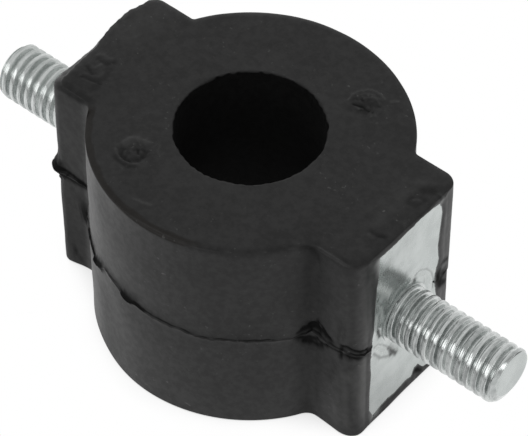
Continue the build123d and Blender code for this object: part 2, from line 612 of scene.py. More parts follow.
# %% The parting line
LINE_PLACES = [
    (-180, 0), (-164, 0.2), (-158.5, 0.3), (-155, 0.28), (-151, 0.2), (-146, 0.0), (-140, -0.1),
    (-133, 0.1), (-128, 0.0), (-123, -0.4), (-119, -0.45), (-115.5, 0.0), (-112.7, 0.6),
    (-109, 0.42), (-104.8, 0.42), (-101, 0.22), (-97.7, -0.15), (-94.4, 0.05), (-91.4, -0.08),
    (-88.5, -0.21), (-83, -0.19), (-78, -0.23), (-75, -0.14), (-72, -0.3), (-68.5, -0.4),
    (-64, -0.4), (-59.5, -0.2), (-56.9, -0.2), (-46, -0.2), (-40, -0.28), (-37, -0.42),
    (-35, -0.45), (-33, -0.29), (-30.7, -0.08), (-29.3, 0.25), (-28.2, 0.62), (-26.9, 0.56),
    (-25.6, 0.19), (-24.2, 0.0), (-23.5, 0.05), (-22.7, 0.3), (-21.1, -0.05), (-19.8, -0.35),
    (-18, -0.6), (-15.5, -0.6), (0, 0), (16, 0.5), (30, 0.2), (60, 0), (120, 0.15), (180, 0),
]
line_height = read_curve(LINE_PLACES, polar) + 0.03 * ripple(outline, 1.1, 31)
FLASH_BUMPS = [(-28, 3, 0.16), (-20, 3, 0.10), (-131, 7, 0.05)]
BARE_ANGLE = 21
WIDTH_BUMPS = [(-82, 12, 0.04), (-63, 5, -0.04), (-109, 6, -0.05), (-155.5, 3, -0.05)]


def near_angle(angle, width):
    """1 at a place round the ring, falling to 0 about two widths away, in degrees."""
    return bell((polar - angle + 180) % 360, 180, width)


flash_out = 0.10 + 0.04 * ripple(outline, 0.8, 33) + 0.04 * ripple(outline, 2.6, 34)
flash_out = np.clip(flash_out, 0.03, 0.22)
flash_out += sum(size * near_angle(angle, width) for angle, width, size in FLASH_BUMPS)
flash_out *= 1 - near_angle(BARE_ANGLE, 6)
flash_out = np.minimum(flash_out, FLASH_REACH)
line_width = 0.12 + 0.05 * np.clip(ripple(outline, 1.6, 35), -1, 1)
line_width += sum(size * near_angle(angle, width) for angle, width, size in WIDTH_BUMPS)
print(f"flash stands out by {flash_out.min():.2f} to {flash_out.max():.2f}")

# %% [markdown]
# The strokes on the outside are the torn lumps of flash at the near junctions, the nub at the
# rear pad's corner, a blob at the front, and the curled lip that runs round the front pad's
# corner. Their dark tones are partly torn, matt rubber and partly painted shade round the
# lumps and the lip. The light bands down the front pad's near side and corner are painted
# highlights. Their points are written as (angle round the ring, height). Those on the end
# faces are places across and up the face. There, besides torn patches, a dark band along the
# bottom edge is painted shade, and lighter strips run beside the window.

# %% Strokes on the outside
SIDE_STROKES = [
    (0.14, -0.05, -0.9, (-25.5, -0.4), (-24.7, -0.35), (-23.7, -0.25), (-23.2, -0.25)),
    (0.17, -0.12, -0.9, (-23.15, 0.6), (-23.15, -1)),
    (0.18, -0.1, -1, (-22.9, 0.75), (-22.2, 0.78), (-20.7, 0.3), (-18.9, -0.1), (-16.1, -0.2),
        (-15, -0.25)),
    (0.3, -0.05, -0.45, (-22.9, -0.45), (-21.3, -0.65), (-19.4, -0.9)),
    (0.2, -0.08, -0.9, (-18.8, -1.1), (-16, -1.1), (-15, -1.03)),
    (0.18, -0.03, -0.3, (-23.3, 3.8), (-23.6, 2.3), (-23.8, 0.8)),
    (0.14, -0.02, -0.3, (-22.5, 3), (-23, 1.6)),
    (0.85, 0.48, -0.9, (-160.4, 0.45), (-158.4, 0.4)),
    (0.3, -0.05, -0.5, (-29, 11.9), (-27.6, 11.3), (-26.8, 10.8)),
    (0.24, -0.05, -0.8, (-33.2, 0.1), (-31.8, 0.35), (-30.4, 0.55)),
    (0.34, -0.1, -1, (-28.8, 1), (-27.8, 1.25), (-27, 1.2)),
    (0.26, -0.05, -0.7, (-26.2, 1.1), (-25.5, 0.7), (-24.8, 0.5)),
    (0.16, 0.05, 0.5, (-27.6, -0.95), (-26.9, -0.85)),
    (0.15, -0.06, -0.9, (-26.8, -0.5), (-26, -0.55), (-25.2, -0.45)),
    (0.4, 0.2, -0.9, (-140.5, 0.9), (-139.2, 0.2)),
    (0.32, -0.05, -0.7, (-155.9, -10.1), (-155.7, -10.9), (-154.9, -11.2)),
    (0.22, -0.03, -0.6, (-22.3, -0.25), (-21.3, -0.55), (-20, -0.75), (-18.9, -0.85)),
    (0.25, 0, 0.14, (-22.3, 8), (-22.2, 3.5), (-22.4, -2.5)),
    (0.3, 0, 0.2, (-18, 8.5), (-17.6, 4.5), (-17.8, 1.4)),
    (0.55, 0, 0.4, (-20.2, -3.2), (-19.4, -5.4), (-18, -8)),
    (0.5, 0, 0.5, (-17.6, -2.2), (-17.2, -6), (-17.4, -9.5)),
    (0.4, 0, 0.35, (-22.3, -3.5), (-22.1, -6.5), (-22, -11)),
    (0.4, 0, -0.3, (-23.9, -2.2), (-24.4, -4), (-25, -5.2)),
    (0.14, 0.01, 0.5, (-24.2, -9), (-23.6, -9.6)),
    (0.12, -0.03, -0.6, (-22.6, -10.6), (-21.9, -11.3)),
    (0.24, -0.02, -1, (-158.2, 0.78), (-157.2, 0.72), (-155.9, 0.6), (-154.5, 0.45),
        (-153.2, 0.36)),
    (0.28, -0.02, -1, (-158.2, -0.2), (-157, -0.26), (-155.7, -0.18), (-154.2, -0.12),
        (-152.8, -0.05)),
    (0.08, 0.03, 0, (-157.2, 0.24), (-156.4, 0.22), (-155.4, 0.16)),
    (0.3, 0, -0.35, (-21.8, -0.25), (-20, -0.6), (-18, -0.72), (-16, -0.72)),
    (0.16, -0.06, -0.7, (-27.1, 2.1), (-26.5, 1.75), (-25.8, 1.25), (-25.1, 0.75)),
    (0.3, -0.03, -0.4, (-26.6, 1.3), (-25.8, 0.85)),
    (0.34, -0.08, -0.85, (-30.8, 0.5), (-29.6, 0.85), (-28.6, 1.15), (-27.6, 1.5)),
    (0.42, -0.1, -1, (-28.3, 1.35), (-27.4, 1.5)),
    (0.46, -0.12, -1, (-32.2, -0.7), (-30.4, -0.8), (-28.9, -0.75), (-27.8, -0.6)),
    (0.36, -0.1, -1, (-30.2, -1.25), (-28.6, -1.35), (-27.2, -1.25), (-26.4, -1)),
    (0.66, 0.16, -1, (-153.3, -3.1), (-153.2, -4), (-153, -5)),
    (0.5, 0.04, -1, (-153.2, -3.6), (-153.1, -4.5)),
    (0.5, 0, -0.5, (-150, -0.9), (-142, -1), (-134, -0.9), (-128, -1.1)),
    (0.5, 0.2, -1, (-119.8, -0.5), (-117.6, -0.25), (-115.4, 0.05)),
    (0.4, 0.02, -1, (-119.4, -0.6), (-117.2, -0.35), (-115.6, -0.1)),
    (0.4, 0.2, -1, (-99.8, 0.1), (-98.2, 0), (-96.6, -0.05)),
    (0.34, 0.02, -1, (-99.4, 0), (-98.2, -0.1), (-96.8, -0.15)),
    (0.2, 0.02, -0.9, (-94.6, 0.05), (-92.6, 0.05), (-90.4, -0.05)),
    (0.22, 0.02, -0.9, (-133, 0.2), (-127, 0), (-122.5, -0.4)),
]
END_STROKES = [
    (0.42, 0.02, -1, (4.9, 1.35), (4.9, 0.3), (5.4, -0.4)),
    (0.3, 0.02, -1, (5.6, 2.35), (6.4, 2.1)),
    (0.45, 0.03, -1, (5.4, -0.7), (6.2, -1)), (0.5, -0.02, -0.8, (5.5, 1.2), (6, 0.2)),
    (0.5, 0, -0.55, (-4.2, -11.9), (0, -11.6), (4.5, -11.9)),
    (0.3, 0.06, -0.9, (-4.6, -0.3), (-5.3, -0.5)),
    (0.45, 0, 0.85, (-5.8, -1.4), (-5.75, -5), (-5.85, -10)),
    (0.35, 0, 0.4, (-5.7, 9), (-5.75, 4), (-5.8, 1)), (0.6, 0, 0.25, (6.2, 9.5), (6.25, 3)),
    (0.5, 0, 0.15, (6.2, -2.5), (6.1, -9)),
    (0.45, 0.06, -1, (2.1, -10.4), (2.8, -11.1)),
]
side_strokes = []
for half_width, rise, shade, *chain in SIDE_STROKES:
    angles, levels = zip(*chain)
    places = np.interp(angles, polar, walked, period=360).tolist()
    side_strokes.append((half_width, rise, shade, *zip(places, levels)))
print(f"{len(side_strokes)} strokes on the outside")

# %% [markdown]
# The rows of the body go round its section: up the bore, over the rim, out across the top,
# down the outside, and back underneath. On the outside the rows crowd round the parting line
# and follow it, so that a fin a fraction of a millimetre thick still has its own points.

# %% Rows down the outside
EDGE_BEVEL = 0.7
EDGE_DROP = 0.15
EDGE_HEIGHT = HALF_HEIGHT - EDGE_DROP

fine_steps = [0.0, 0.05, 0.10, 0.15, 0.21, 0.28, 0.36, 0.46, 0.58, 0.72, 0.88, 1.06, 1.27]
coarse_steps = [1.5, 1.8, 2.2, 2.8] + list(np.linspace(3.6, EDGE_HEIGHT - 0.7, 8))
edge_steps = [EDGE_HEIGHT - step for step in (0.42, 0.26, 0.13, 0.05, 0.0)]
upper = np.array(fine_steps + coarse_steps + edge_steps)
side_heights = np.concatenate([upper[::-1], -upper[1:]])
SIDE_ROWS = len(side_heights)
follow = 1 - smooth(np.abs(side_heights), 0.6, 4.5)
print(f"{SIDE_ROWS} rows down the outside")

# %% [markdown]
# The edge between the top and the outside isn't the same all round. On the near left of the
# ring it is crisp, and it gets rounder towards the front pad. A Bevel modifier has one
# width for a whole edge, so here each column gets a radius of its own. The upper and lower
# halves of the mould don't meet quite true either, so everything below the parting line
# sits a tenth of a millimetre to one side.

# %% Edge rounding and the step between the mould halves
EDGE_RADII = [
    (-180, 0.12), (-166, 0.12), (-163, 0.4), (-154, 0.4), (-150, 0.1), (-99, 0.1), (-88, 0.42),
    (-24, 0.5), (-20, 0.32), (-17, 0.14), (17, 0.1), (158, 0.1), (180, 0.1),
]
edge_radius = read_curve(EDGE_RADII, polar)
LOWER_HALF_STEP = np.array([-0.03, -0.09])


def round_edge(inward, down):
    """Bend a right-angled edge into an arc: new distances inward and down for each column."""
    short_in = np.clip(edge_radius - inward, 0, None)
    short_down = np.clip(edge_radius - down, 0, None)
    length = np.maximum(np.hypot(short_in, short_down), 1e-9)
    bent = (inward < edge_radius) & (down < edge_radius) & (length > edge_radius)
    scale = np.where(bent, edge_radius / length, 1.0)
    new_in = np.where(bent, edge_radius - short_in * scale, inward)
    new_down = np.where(bent, edge_radius - short_down * scale, down)
    return new_in, new_down


print(f"edge radius {edge_radius.min():.2f} to {edge_radius.max():.2f} mm")

# %% [markdown]
# The outside is a grid: a row for each step down, a column for each place on the outline. The
# fin of the flash, a low shoulder under it, a slow wander of the whole skin and the strokes
# all push points out along the outline's normals.

# %% Place the outside of the body
FIN_HALF_THICKNESS = 0.085
SHOULDER_HEIGHT, SHOULDER_WIDTH = 0.035, 0.32


def side_rows():
    offset = side_heights[:, None] + np.zeros(COLUMNS)
    z = offset + follow[:, None] * line_height
    place = np.empty((SIDE_ROWS, COLUMNS, 3))
    place[:, :, :2] = outline
    place[:, :, 2] = z
    fin = flash_out * np.exp(-np.abs(offset / FIN_HALF_THICKNESS) ** 2.2)
    shoulder = SHOULDER_HEIGHT * bell(offset, 0, SHOULDER_WIDTH) * (1 - near_angle(BARE_ANGLE, 4))
    wander = 0.035 * ripple(place, 7.0, 41) + 0.012 * ripple(place, 2.2, 42)
    wander *= smooth(EDGE_HEIGHT - np.abs(offset), 0.0, 1.0)
    rise, tone = draw_strokes(np.broadcast_to(walked, z.shape), z, side_strokes)
    out = fin + shoulder + wander + rise
    for i in np.flatnonzero(side_heights > EDGE_HEIGHT - 0.9):
        depth = EDGE_HEIGHT - side_heights[i]
        inward, down = round_edge(np.zeros(COLUMNS), np.full(COLUMNS, depth))
        out[i] -= inward
        place[i, :, 2] -= down - depth
    place[:, :, :2] += outline_normal * out[:, :, None]
    place[:, :, :2] += LOWER_HALF_STEP * (1 - smooth(offset, -0.06, 0.0))[:, :, None]
    # The parting line is darker: torn, matt flash, and painted shade on both sides of the fin. Its
    # crest is less dark, a painted highlight.
    line = 1 - smooth(np.abs(offset), line_width * 0.7, line_width * 1.4)
    tone = tone - line * (0.25 + 0.65 * smooth(np.abs(offset), 0.03, 0.09))
    return place, np.clip(tone, -1, 1)


side, side_tone = side_rows()
print("outside placed, with", np.count_nonzero(side_tone < -0.5), "torn points")

# %% [markdown]
# The top face carries the two feed marks. Each is a round sink where the feed was torn off. On
# the near one a flap of rubber stands up at the far side and a thin lip curls round the near
# side. The far one has two fine steps at its far side and a crease across it. Near the pads'
# ends the rubber has folds and dents, where it was pressed over the plates' edges. Their
# tones are partly torn rubber and dust and partly painted light: painted highlights on the
# lips, flaps and ridges, and painted shade in the sinks, creases and dents. A light line and
# a dark band near the front pad's end paint the light and shade of a shallow sink over the
# plate's back edge, and a few broad strokes make parts of the tops lighter or darker.

# %% Strokes on the top face
FEED_MARKS = ((-6.6, -9.25), (6.4, 9.65))
TOP_STROKES = [
    (0.13, 0.08, 0.32, (-7.95, -10.1), (-7.55, -10.45), (-7, -10.68), (-6.42, -10.8),
        (-5.78, -10.74), (-5.28, -10.43)),
    (0.33, -0.16, -0.54, (-7.3, -10.1), (-6.9, -10.38), (-6.26, -10.4), (-5.7, -10.1),
        (-5.37, -9.7), (-5.3, -9.1), (-5.5, -8.6)),
    (0.27, -0.04, -0.43, (-7.3, -10.95), (-6.83, -11.07), (-6.15, -11.18), (-5.54, -11.1),
        (-5.04, -10.75)),
    (0.1, -0.05, -0.4, (-7.95, -9.95), (-7.64, -9.75), (-7.25, -9.5)),
    (0.4, 0.13, 0.3, (-7.7, -9.1), (-7.65, -8.5), (-7.35, -8.05), (-6.75, -7.9), (-6.1, -7.75)),
    (0.6, 0.02, -0.25, (-6.8, -9.4), (-6.4, -8.9)),
    (0.16, -0.1, -0.43, (-6.25, -8.85), (-5.95, -9.25)),
    (0.13, 0.03, 0.22, (-5, -7.2), (-4.8, -7.75), (-4.4, -8.05), (-4.07, -8), (-4.14, -7.75)),
    (1.25, 0.05, -0.15, (6.4, 9.65)),
    (0.5, -0.05, -0.3, (5.5, 9.5), (6.3, 9.7), (7.2, 9.9)),
    (0.1, 0.06, 0.47, (4.71, 8.82), (4.61, 9.6), (4.74, 10.2), (5.25, 10.98), (5.64, 11.25),
        (6.08, 11.37), (6.65, 11.32), (7.33, 11.14)),
    (0.09, 0.03, 0.34, (4.9, 9.9), (5.17, 10.13), (5.39, 10.52), (5.76, 10.73), (6.2, 10.94),
        (6.97, 10.83)),
    (0.09, 0.03, 0.3, (6.17, 10.59), (6.5, 10.65), (6.89, 10.55), (7.34, 10.28)),
    (0.15, -0.12, -0.77, (5.4, 8.76), (5.76, 8.84), (6.18, 8.98), (6.63, 8.99), (7.11, 8.96)),
    (0.35, -0.04, -0.38, (6.6, 8.5), (7.05, 8.5)), (0.4, -0.02, -0.21, (5.6, 8.2), (6.2, 8.3)),
    (0.11, 0.03, 0.9, (6.2, 8.57)),
    (0.11, 0.03, 0.9, (5.82, 10.51)), (0.11, 0.02, 0.5, (7.72, 8.57)),
    (0.11, 0.02, 0.5, (7.99, 8.9)),
    (0.12, 0.02, 0.7, (8.69, 8.22)), (0.12, -0.04, -0.8, (7.51, 9.03)),
    (0.12, 0.03, 0.6, (7.99, 11.26), (8.21, 11.56), (8.49, 11.79)),
    (0.13, 0.02, 0.6, (5.68, 12.72)),
    (0.2, -0.09, -0.4, (-17.82, -3.79), (-16.87, -4.05), (-16.21, -4.28)),
    (0.2, 0.06, 0.2, (-17.88, -3.55), (-16.99, -3.65), (-16.51, -3.6), (-16.33, -2.72)),
    (0.22, 0.07, 0.24, (-17.96, -2.06), (-17.23, -1.72), (-16.39, -1.8), (-16, -1.65)),
    (0.25, -0.07, -0.34, (-17.46, -2.3), (-16.66, -2.4), (-16.01, -2.5), (-15.67, -1.85)),
    (0.19, 0.05, 0.18, (-17.11, -4.86), (-16.3, -4.62), (-15.75, -4.51), (-15.31, -4.14),
        (-15.42, -3.44)),
    (0.17, -0.06, -0.32, (-16.88, -5.11), (-16.13, -5.09), (-15.47, -4.96), (-14.69, -4.83)),
    (0.16, 0.03, 0.16, (-16.37, -5.3), (-15.42, -5.2), (-15.04, -5.05)),
    (0.43, -0.06, -0.2, (-15.3, -2.6), (-14.95, -3.4), (-14.85, -4.3)),
    (0.56, -0.02, -0.11, (-14.93, -5.99), (-14.67, -5.42)),
    (0.28, 0.03, 0.23, (-18.8, 3.9), (-18.6, 3.1)),
    (0.15, -0.03, -0.2, (-18.75, 2.6), (-18.35, 3.7)),
    (0.18, -0.03, -0.23, (-17.27, 0.64), (-16.69, 0.06)),
    (0.12, 0.01, 0.18, (-16.44, 1.88), (-16.19, 2.62)),
    (0.47, -0.09, -0.32, (17.45, 4.2), (17.8, 4.6), (18.38, 4.85)),
    (0.31, 0.03, 0.16, (16.88, 4.86), (17.19, 5.36), (17.77, 5.52)),
    (0.2, -0.05, -0.29, (17.18, 2.24), (17.11, 2.92), (17.57, 3.39), (18.23, 3.45)),
    (0.15, 0.04, 0.23, (17.31, 2.52), (17.52, 2.86), (17.95, 3.06)),
    (0.25, -0.06, -0.29, (17.55, 2.23), (18.05, 2.33), (18.25, 2.82)),
    (0.15, 0.03, 0.2, (17.51, -0.24), (18.02, -0.29), (18.3, -0.05)),
    (0.1, 0, 0.4, (18.45, 0.3), (19, -0.5)),
    (0.25, -0.09, -0.4, (16.96, -2.78), (17.54, -2.77), (18.26, -2.49)),
    (0.15, 0.04, 0.23, (16.85, -3.1), (16.95, -3.3), (17.53, -3.34)),
    (0.15, 0.03, 0.18, (17.87, -2.02), (18.45, -2.01)),
    (0.22, 0.02, 0.35, (12.56, -9.1), (13.3, -8.6), (13.9, -7.75)),
    (0.17, 0.02, 0.28, (12.52, -8.37), (13.06, -7.8)),
    (0.22, -0.03, -0.42, (5.19, -14.75), (5.86, -14.43), (6.59, -14.1), (7.14, -13.85),
        (7.81, -13.5)),
    (0.12, -0.02, -0.5, (11.81, -10.2), (12.61, -9.4)), (0.15, 0.02, 0.7, (7.07, -14)),
    (0.15, 0.02, 0.7, (8.39, -13.1)),
    (0.14, 0.02, 0.7, (12.5, -9.3)), (0.15, 0.02, 0.5, (11, -10.9)),
    (0.14, 0.02, 0.4, (-2.46, -13.76), (-1.54, -13.59), (-0.67, -13.27)),
    (0.25, -0.03, -0.2, (16.86, -7.2), (17.5, -7), (18.2, -6.6), (18.6, -6)),
    (0.3, -0.05, -0.9, (-13.2, -8.2), (-13, -8.8)),
    (0.42, 0.02, 0.13, (16.55, -2.4), (16.7, 0.5), (16.5, 3), (16.6, 5.2)),
    (0.75, -0.02, -0.12, (18.1, -4), (18.2, 0.2), (18, 4.6)),
    (1.5, 0, -0.11, (10.6, -9.6), (12.2, -7.6), (13, -6)),
    (2, 0, -0.18, (-17.6, -5.4), (-15.6, -5.2)),
    (2, 0, 0.22, (-17.2, 2), (-17.2, 6)), (1.6, 0, 0.1, (15.6, 0.4), (15.6, 3.4)),
]
MARK_INNER, MARK_OUTER = 1.1, 1.7


def top_relief(x, y):
    """Rise and tone of the top face, with a torn surface inside the feed marks."""
    place = np.stack([x, y], -1)
    wave = 0.022 * ripple(place, 6.5, 43) + 0.007 * ripple(place, 2.0, 44)
    rise, tone = draw_strokes(x, y, TOP_STROKES)
    torn = ripple(place, 0.5, 48)
    for mark_x, mark_y in FEED_MARKS:
        inside = 1 - smooth(np.hypot(x - mark_x, y - mark_y), MARK_INNER, MARK_OUTER)
        rise += inside * 0.030 * (torn - 1)
        tone += inside * 0.12 * torn
    return rise + wave, np.clip(tone, -1, 1)


print(f"{len(TOP_STROKES)} strokes on the top face")

# %% [markdown]
# The rows of the top and the bottom go from the bore's rim to the outline in even shares of
# the way. The last ones follow the shallow bevel. The bore isn't quite in the middle, and its
# rims are a little ragged.

# %% Place the top and the bottom
BORE_RADIUS = 7.3
BORE_MIDDLE = np.array([-0.10, 0.12])
RIM = 0.14
TOP_ROWS, BOTTOM_ROWS, BORE_ROWS = 70, 12, 8
BEVEL_ROWS = (0.3, 0.5, 0.68, 0.83, 0.94)


def face_rows(rows, sign, relief):
    """Rows from the bore's rim out to the sharp outer edge, left out itself."""
    bevel_in = outline - EDGE_BEVEL * outline_normal
    angle = np.arctan2(bevel_in[:, 1], bevel_in[:, 0])
    rim = BORE_MIDDLE + (BORE_RADIUS + RIM) * np.stack([np.cos(angle), np.sin(angle)], -1)
    result = []
    for t in np.linspace(0, 1, rows):
        flat = rim * (1 - t) + bevel_in * t
        result.append(np.column_stack([flat, np.full(COLUMNS, HALF_HEIGHT)]))
    for t in BEVEL_ROWS:
        inward, down = np.full(COLUMNS, EDGE_BEVEL * (1 - t)), np.zeros(COLUMNS)
        if relief:
            inward, down = round_edge(inward, down)
        flat = outline - outline_normal * inward[:, None]
        result.append(np.column_stack([flat, HALF_HEIGHT - EDGE_DROP * t**1.7 - down]))
    result = np.array(result)
    tone = np.zeros(result.shape[:2])
    if relief:
        rise, tone = top_relief(result[:, :, 0], result[:, :, 1])
        result[:, :, 2] += rise
    else:
        result[:, :, 2] += 0.015 * ripple(result[:, :, :2], 6.0, 45)
        result[:, :, 2] = np.minimum(result[:, :, 2], HALF_HEIGHT)
        result[:, :, :2] += LOWER_HALF_STEP
    result[:, :, 2] *= sign
    return result, tone


top, top_tone = face_rows(TOP_ROWS, 1, True)
bottom, bottom_tone = face_rows(BOTTOM_ROWS, -1, False)

print(f"rows: top {len(top)}, outside {SIDE_ROWS}, bottom {len(bottom)}")

# %% Place the bore
end_rows = np.array([HALF_HEIGHT - 0.08, HALF_HEIGHT - RIM])
bore_heights = np.concatenate([-end_rows, np.linspace(-11, 11, BORE_ROWS), end_rows[::-1]])
into_rim = np.clip(1 - (HALF_HEIGHT - np.abs(bore_heights)) / RIM, 0, 1)
bore_reach = BORE_RADIUS + RIM * (1 - np.sqrt(1 - into_rim**2))
rim_angle = np.arctan2(top[0, :, 1] - BORE_MIDDLE[1], top[0, :, 0] - BORE_MIDDLE[0])
rim_way = np.stack([np.cos(rim_angle), np.sin(rim_angle)], -1)
bore = np.empty((len(bore_heights), COLUMNS, 3))
bore[:, :, :2] = BORE_MIDDLE + bore_reach[:, None, None] * rim_way
bore[:, :, 2] = bore_heights[:, None]
ragged = 0.07 * ripple(bore, 0.9, 46) * smooth(np.abs(bore[:, :, 2]), 10.5, 12.2)
ragged += 0.03 * ripple(bore, 5.0, 47)
bore[:, :, :2] += rim_way * ragged[:, :, None]
# The bore's walls get the darkest tone, which takes the coat off them: partly a duller skin in the
# bore, and partly painted shade that darkens the deep hole.
bore_tone = np.full(bore.shape[:2], -1.0)
bore_tone[-1] = -0.7
print(f"rows in the bore: {len(bore)}")

# %% [markdown]
# In each end face the rubber stops in a ragged edge on the plate. A boolean would cut this
# window with a clean edge, but the moulded film is thin there, so its border wanders, most
# of all along the bottom. The borders are written as curves over height and width, and the
# film is a set of loops from the body's own columns to that border, then down to the plate,
# round the plate, and round the stud's head.

# %% The window in each end face
FILM = 0.08
NEAR_SIDE = [
    (-12, -4.4), (-11.4, -4.6), (-10, -5.2), (-8.6, -5.3), (-6.8, -5.25), (-4.8, -5.1), (-3, -5.3),
    (-0.9, -5.25), (0.6, -5.2), (1.7, -5.0), (3, -4.97), (5.7, -4.87), (8, -4.7), (9.3, -4.5),
    (10.4, -4.6), (12, -4.5),
]
FAR_SIDE = [
    (-12, 4.4), (-9, 4.8), (-4, 4.9), (-1.9, 4.94), (-0.2, 4.68), (1.4, 4.5), (2.3, 4.68), (3.3, 5.0),
    (4.2, 4.94), (5.3, 4.65), (6.3, 4.8), (7.5, 4.9), (8.8, 5.03), (10.4, 5.14), (11.5, 4.55),
]
LOW_SIDE = [
    (-5, -11.75), (-4.2, -11.46), (-3.4, -11.12), (-2.2, -10.87), (-1.1, -11.02), (0.3, -10.75),
    (1.5, -10.95), (1.9, -10.1), (2.5, -9.95), (2.9, -10.6), (3.4, -11.2), (4, -11.4), (5, -11.5),
]
HIGH_SIDE = [
    (-5, 11.7), (-3.7, 11.58), (-2.8, 11.51), (-1.3, 11.62), (0.2, 11.74), (1.6, 11.84),
    (3.1, 11.82), (4.5, 11.5),
]
REAR_WINDOW = (-4.9, 4.8, -11.5, 11.6)
WINDOW_GUESS = (5, 12)
WINDOW_LIMIT = np.array([5.25, 11.85])


def border_points(end, u, v, seed):
    """The border at shares u of the width and v of the height, from -1 to 1."""
    y, z = WINDOW_GUESS[0] * u, WINDOW_GUESS[1] * v
    near, far, low, high = REAR_WINDOW
    # Each side's curve needs the place along it, so a first guess is bettered in a few rounds.
    for _ in range(6):
        if end == "front":
            near, far = read_curve(NEAR_SIDE, z), read_curve(FAR_SIDE, z)
            low, high = read_curve(LOW_SIDE, y), read_curve(HIGH_SIDE, y)
        y = near + (far - near) * (u + 1) / 2
        z = low + (high - low) * (v + 1) / 2
    place = np.stack([y, z], -1)
    rough = 0.09 * ripple(place, 0.6, seed) + 0.03 * ripple(place, 2.4, seed + 1)
    inward = -place / np.linalg.norm(place, axis=1)[:, None]
    place = place + inward * np.abs(rough)[:, None]
    return np.clip(place, -WINDOW_LIMIT, WINDOW_LIMIT)


corner = border_points("front", np.ones(1), np.ones(1), 80)
print("far upper corner of the window:", np.round(corner, 2).tolist())

# %% [markdown]
# Bore, top, outside and bottom are now one grid that closes on itself, as a hoop of hoops. The
# faces of the two windows are left out of it, and each end fills its window with loops.

# %% Assemble the grid of the body
section = np.concatenate([bore, top, side, bottom[::-1]])
section_tone = np.concatenate([bore_tone, top_tone, side_tone, bottom_tone[::-1]])
ROWS = len(section)
GRID_POINTS = ROWS * COLUMNS
side_first = len(bore) + len(top)
side_last = side_first + SIDE_ROWS - 1

window_span = np.arange(-END_COLUMNS, END_COLUMNS + 1)
end_columns = {"front": window_span % COLUMNS, "rear": COLUMNS // 2 + window_span}
shown = np.ones((ROWS, COLUMNS), bool)
for columns in end_columns.values():
    shown[side_first:side_last, columns[:-1]] = False

number = np.arange(GRID_POINTS).reshape(ROWS, COLUMNS)
beside, below = np.roll(number, -1, 1), np.roll(number, -1, 0)
quads = np.stack([number, beside, np.roll(below, -1, 1), below], -1)
body = Hoops(section.reshape(-1, 3), quads[shown].tolist())
thinness = [np.zeros(GRID_POINTS)]
print(f"{ROWS} rows, {len(body.faces)} faces in the grid")

# %% Fill the windows
FILM_LOOPS = (
    (0.12, 0), (0.28, 0), (0.46, 0), (0.64, 0), (0.8, 0), (0.9, 0.08), (0.96, 0.4), (1.0, 0.9),
)
THINNEST_FILM = 0.012
POCKET_FACE = END_FACE - 0.03


def close_end(end, sign, seed):
    """Loops from the window to the ragged border, the plate's pocket and the head's seat."""
    columns = end_columns[end]
    rows = np.arange(side_first, side_last + 1)
    hole = np.concatenate(
        [
            number[side_first, columns],
            number[rows[1:], columns[-1]],
            number[side_last, columns[-2::-1]],
            number[rows[-2:0:-1], columns[0]],
        ]
    ).tolist()
    start = section.reshape(-1, 3)[hole]
    flat_start = start[:, 1:] * (sign, 1)
    proud = start[:, 0] * sign - END_FACE
    y, z = flat_start.T
    u, v = np.clip(y / np.abs(y).max(), -1, 1), np.clip(z / EDGE_HEIGHT, -1, 1)
    border = border_points(end, u, v, seed)
    loops = [hole]

    def lay(flat, x, thin=0.0):
        loops.append(body.lay(x, flat, sign))
        thinness.append(np.full(len(flat), float(thin)))

    for t, thin in FILM_LOOPS:
        flat = flat_start * (1 - t) + border * t
        film = FILM * smooth(t, 0.0, 0.45) + 0.02 * ripple(flat, 0.9, seed + 5) * smooth(t, 0, 0.3)
        if end == "front":
            film = film + draw_strokes(flat[:, 0], flat[:, 1], END_STROKES)[0] * smooth(t, 0, 0.3)
        film = film + (THINNEST_FILM - film) * smooth(t, 0.7, 1.0)
        lay(flat, END_FACE + proud * (1 - t) ** 2 + np.maximum(film, THINNEST_FILM), thin)
    lay(border * 0.999, POCKET_FACE, 0.9)
    pocket = np.column_stack([u * PLATE_HALF_WIDTH, v * PLATE_HALF_HEIGHT])
    around = np.arctan2(pocket[:, 1], pocket[:, 0])
    seat = HEAD_RADIUS * np.column_stack([np.cos(around), np.sin(around)])
    lay(pocket, POCKET_FACE)
    lay(pocket, PLATE_BACK)
    lay(seat, PLATE_BACK)
    lay(seat, HEAD_BACK)
    lay(seat * 0.4, HEAD_BACK)
    body.join(loops)
    body.close(loops[-1], HEAD_BACK, sign)
    thinness.append(np.zeros(1))


close_end("front", 1, 80)
close_end("rear", -1, 90)
print(f"{body.count - GRID_POINTS} points in the two windows")

# %% [markdown]
# The lower half of the moulding gave way a little when it was pulled out hot. The near
# lower corner of the rear pad sits in towards the ring and out to the side, the front pad's
# lower corner and end lean outward, and the ring is drawn in a little on its near left and
# beside the front pad. A sculpting brush could do this by eye. Written down, each of these
# is a small shift with a soft border.

# %% Shift the lower half, and make the piece
body_points = body.points()
push_rear_edge(body_points)
x, y, z = body_points.T.copy()
turned = np.degrees(np.arctan2(y, x))
reach = np.hypot(x, y)
rear_corner = smooth(-x, 14.5, 18.5) * smooth(-y, 5.6, 7.2)
rear_foot = rear_corner * smooth(-z, 5.0, 12.1)
rear_step = rear_corner * smooth(-z, 0.25, 0.6)
front_corner = bell(turned, -20.3, 3) * smooth(-z, 3, 12) * smooth(reach, 14, 16)
front_end = smooth(-z, 10.9, 12.1) * smooth(x, 18.5, 19.0) * smooth(-y, -1, 3)
hollow_foot = bell(turned, -28, 4) * smooth(-z, 6, 12) * smooth(reach, 12, 14)
slack = bell(turned, -118, 16) * smooth(-z, 2, 10) * smooth(reach, 12, 14)
body_points[:, 0] += 0.26 * rear_step + 0.50 * rear_foot + 0.20 * front_corner + 0.10 * front_end
body_points[:, 1] += -0.44 * rear_foot - 0.19 * front_corner + 0.15 * hollow_foot
body_points[:, :2] *= (1 - 0.15 * slack / np.maximum(reach, 1))[:, None]
rubber = make_piece("moulded_rubber_body", body_points, body.faces, sharp_degrees=42)
triangles = sum(len(p.vertices) - 2 for p in rubber.data.polygons)
print(f"rubber body: {triangles} triangles")
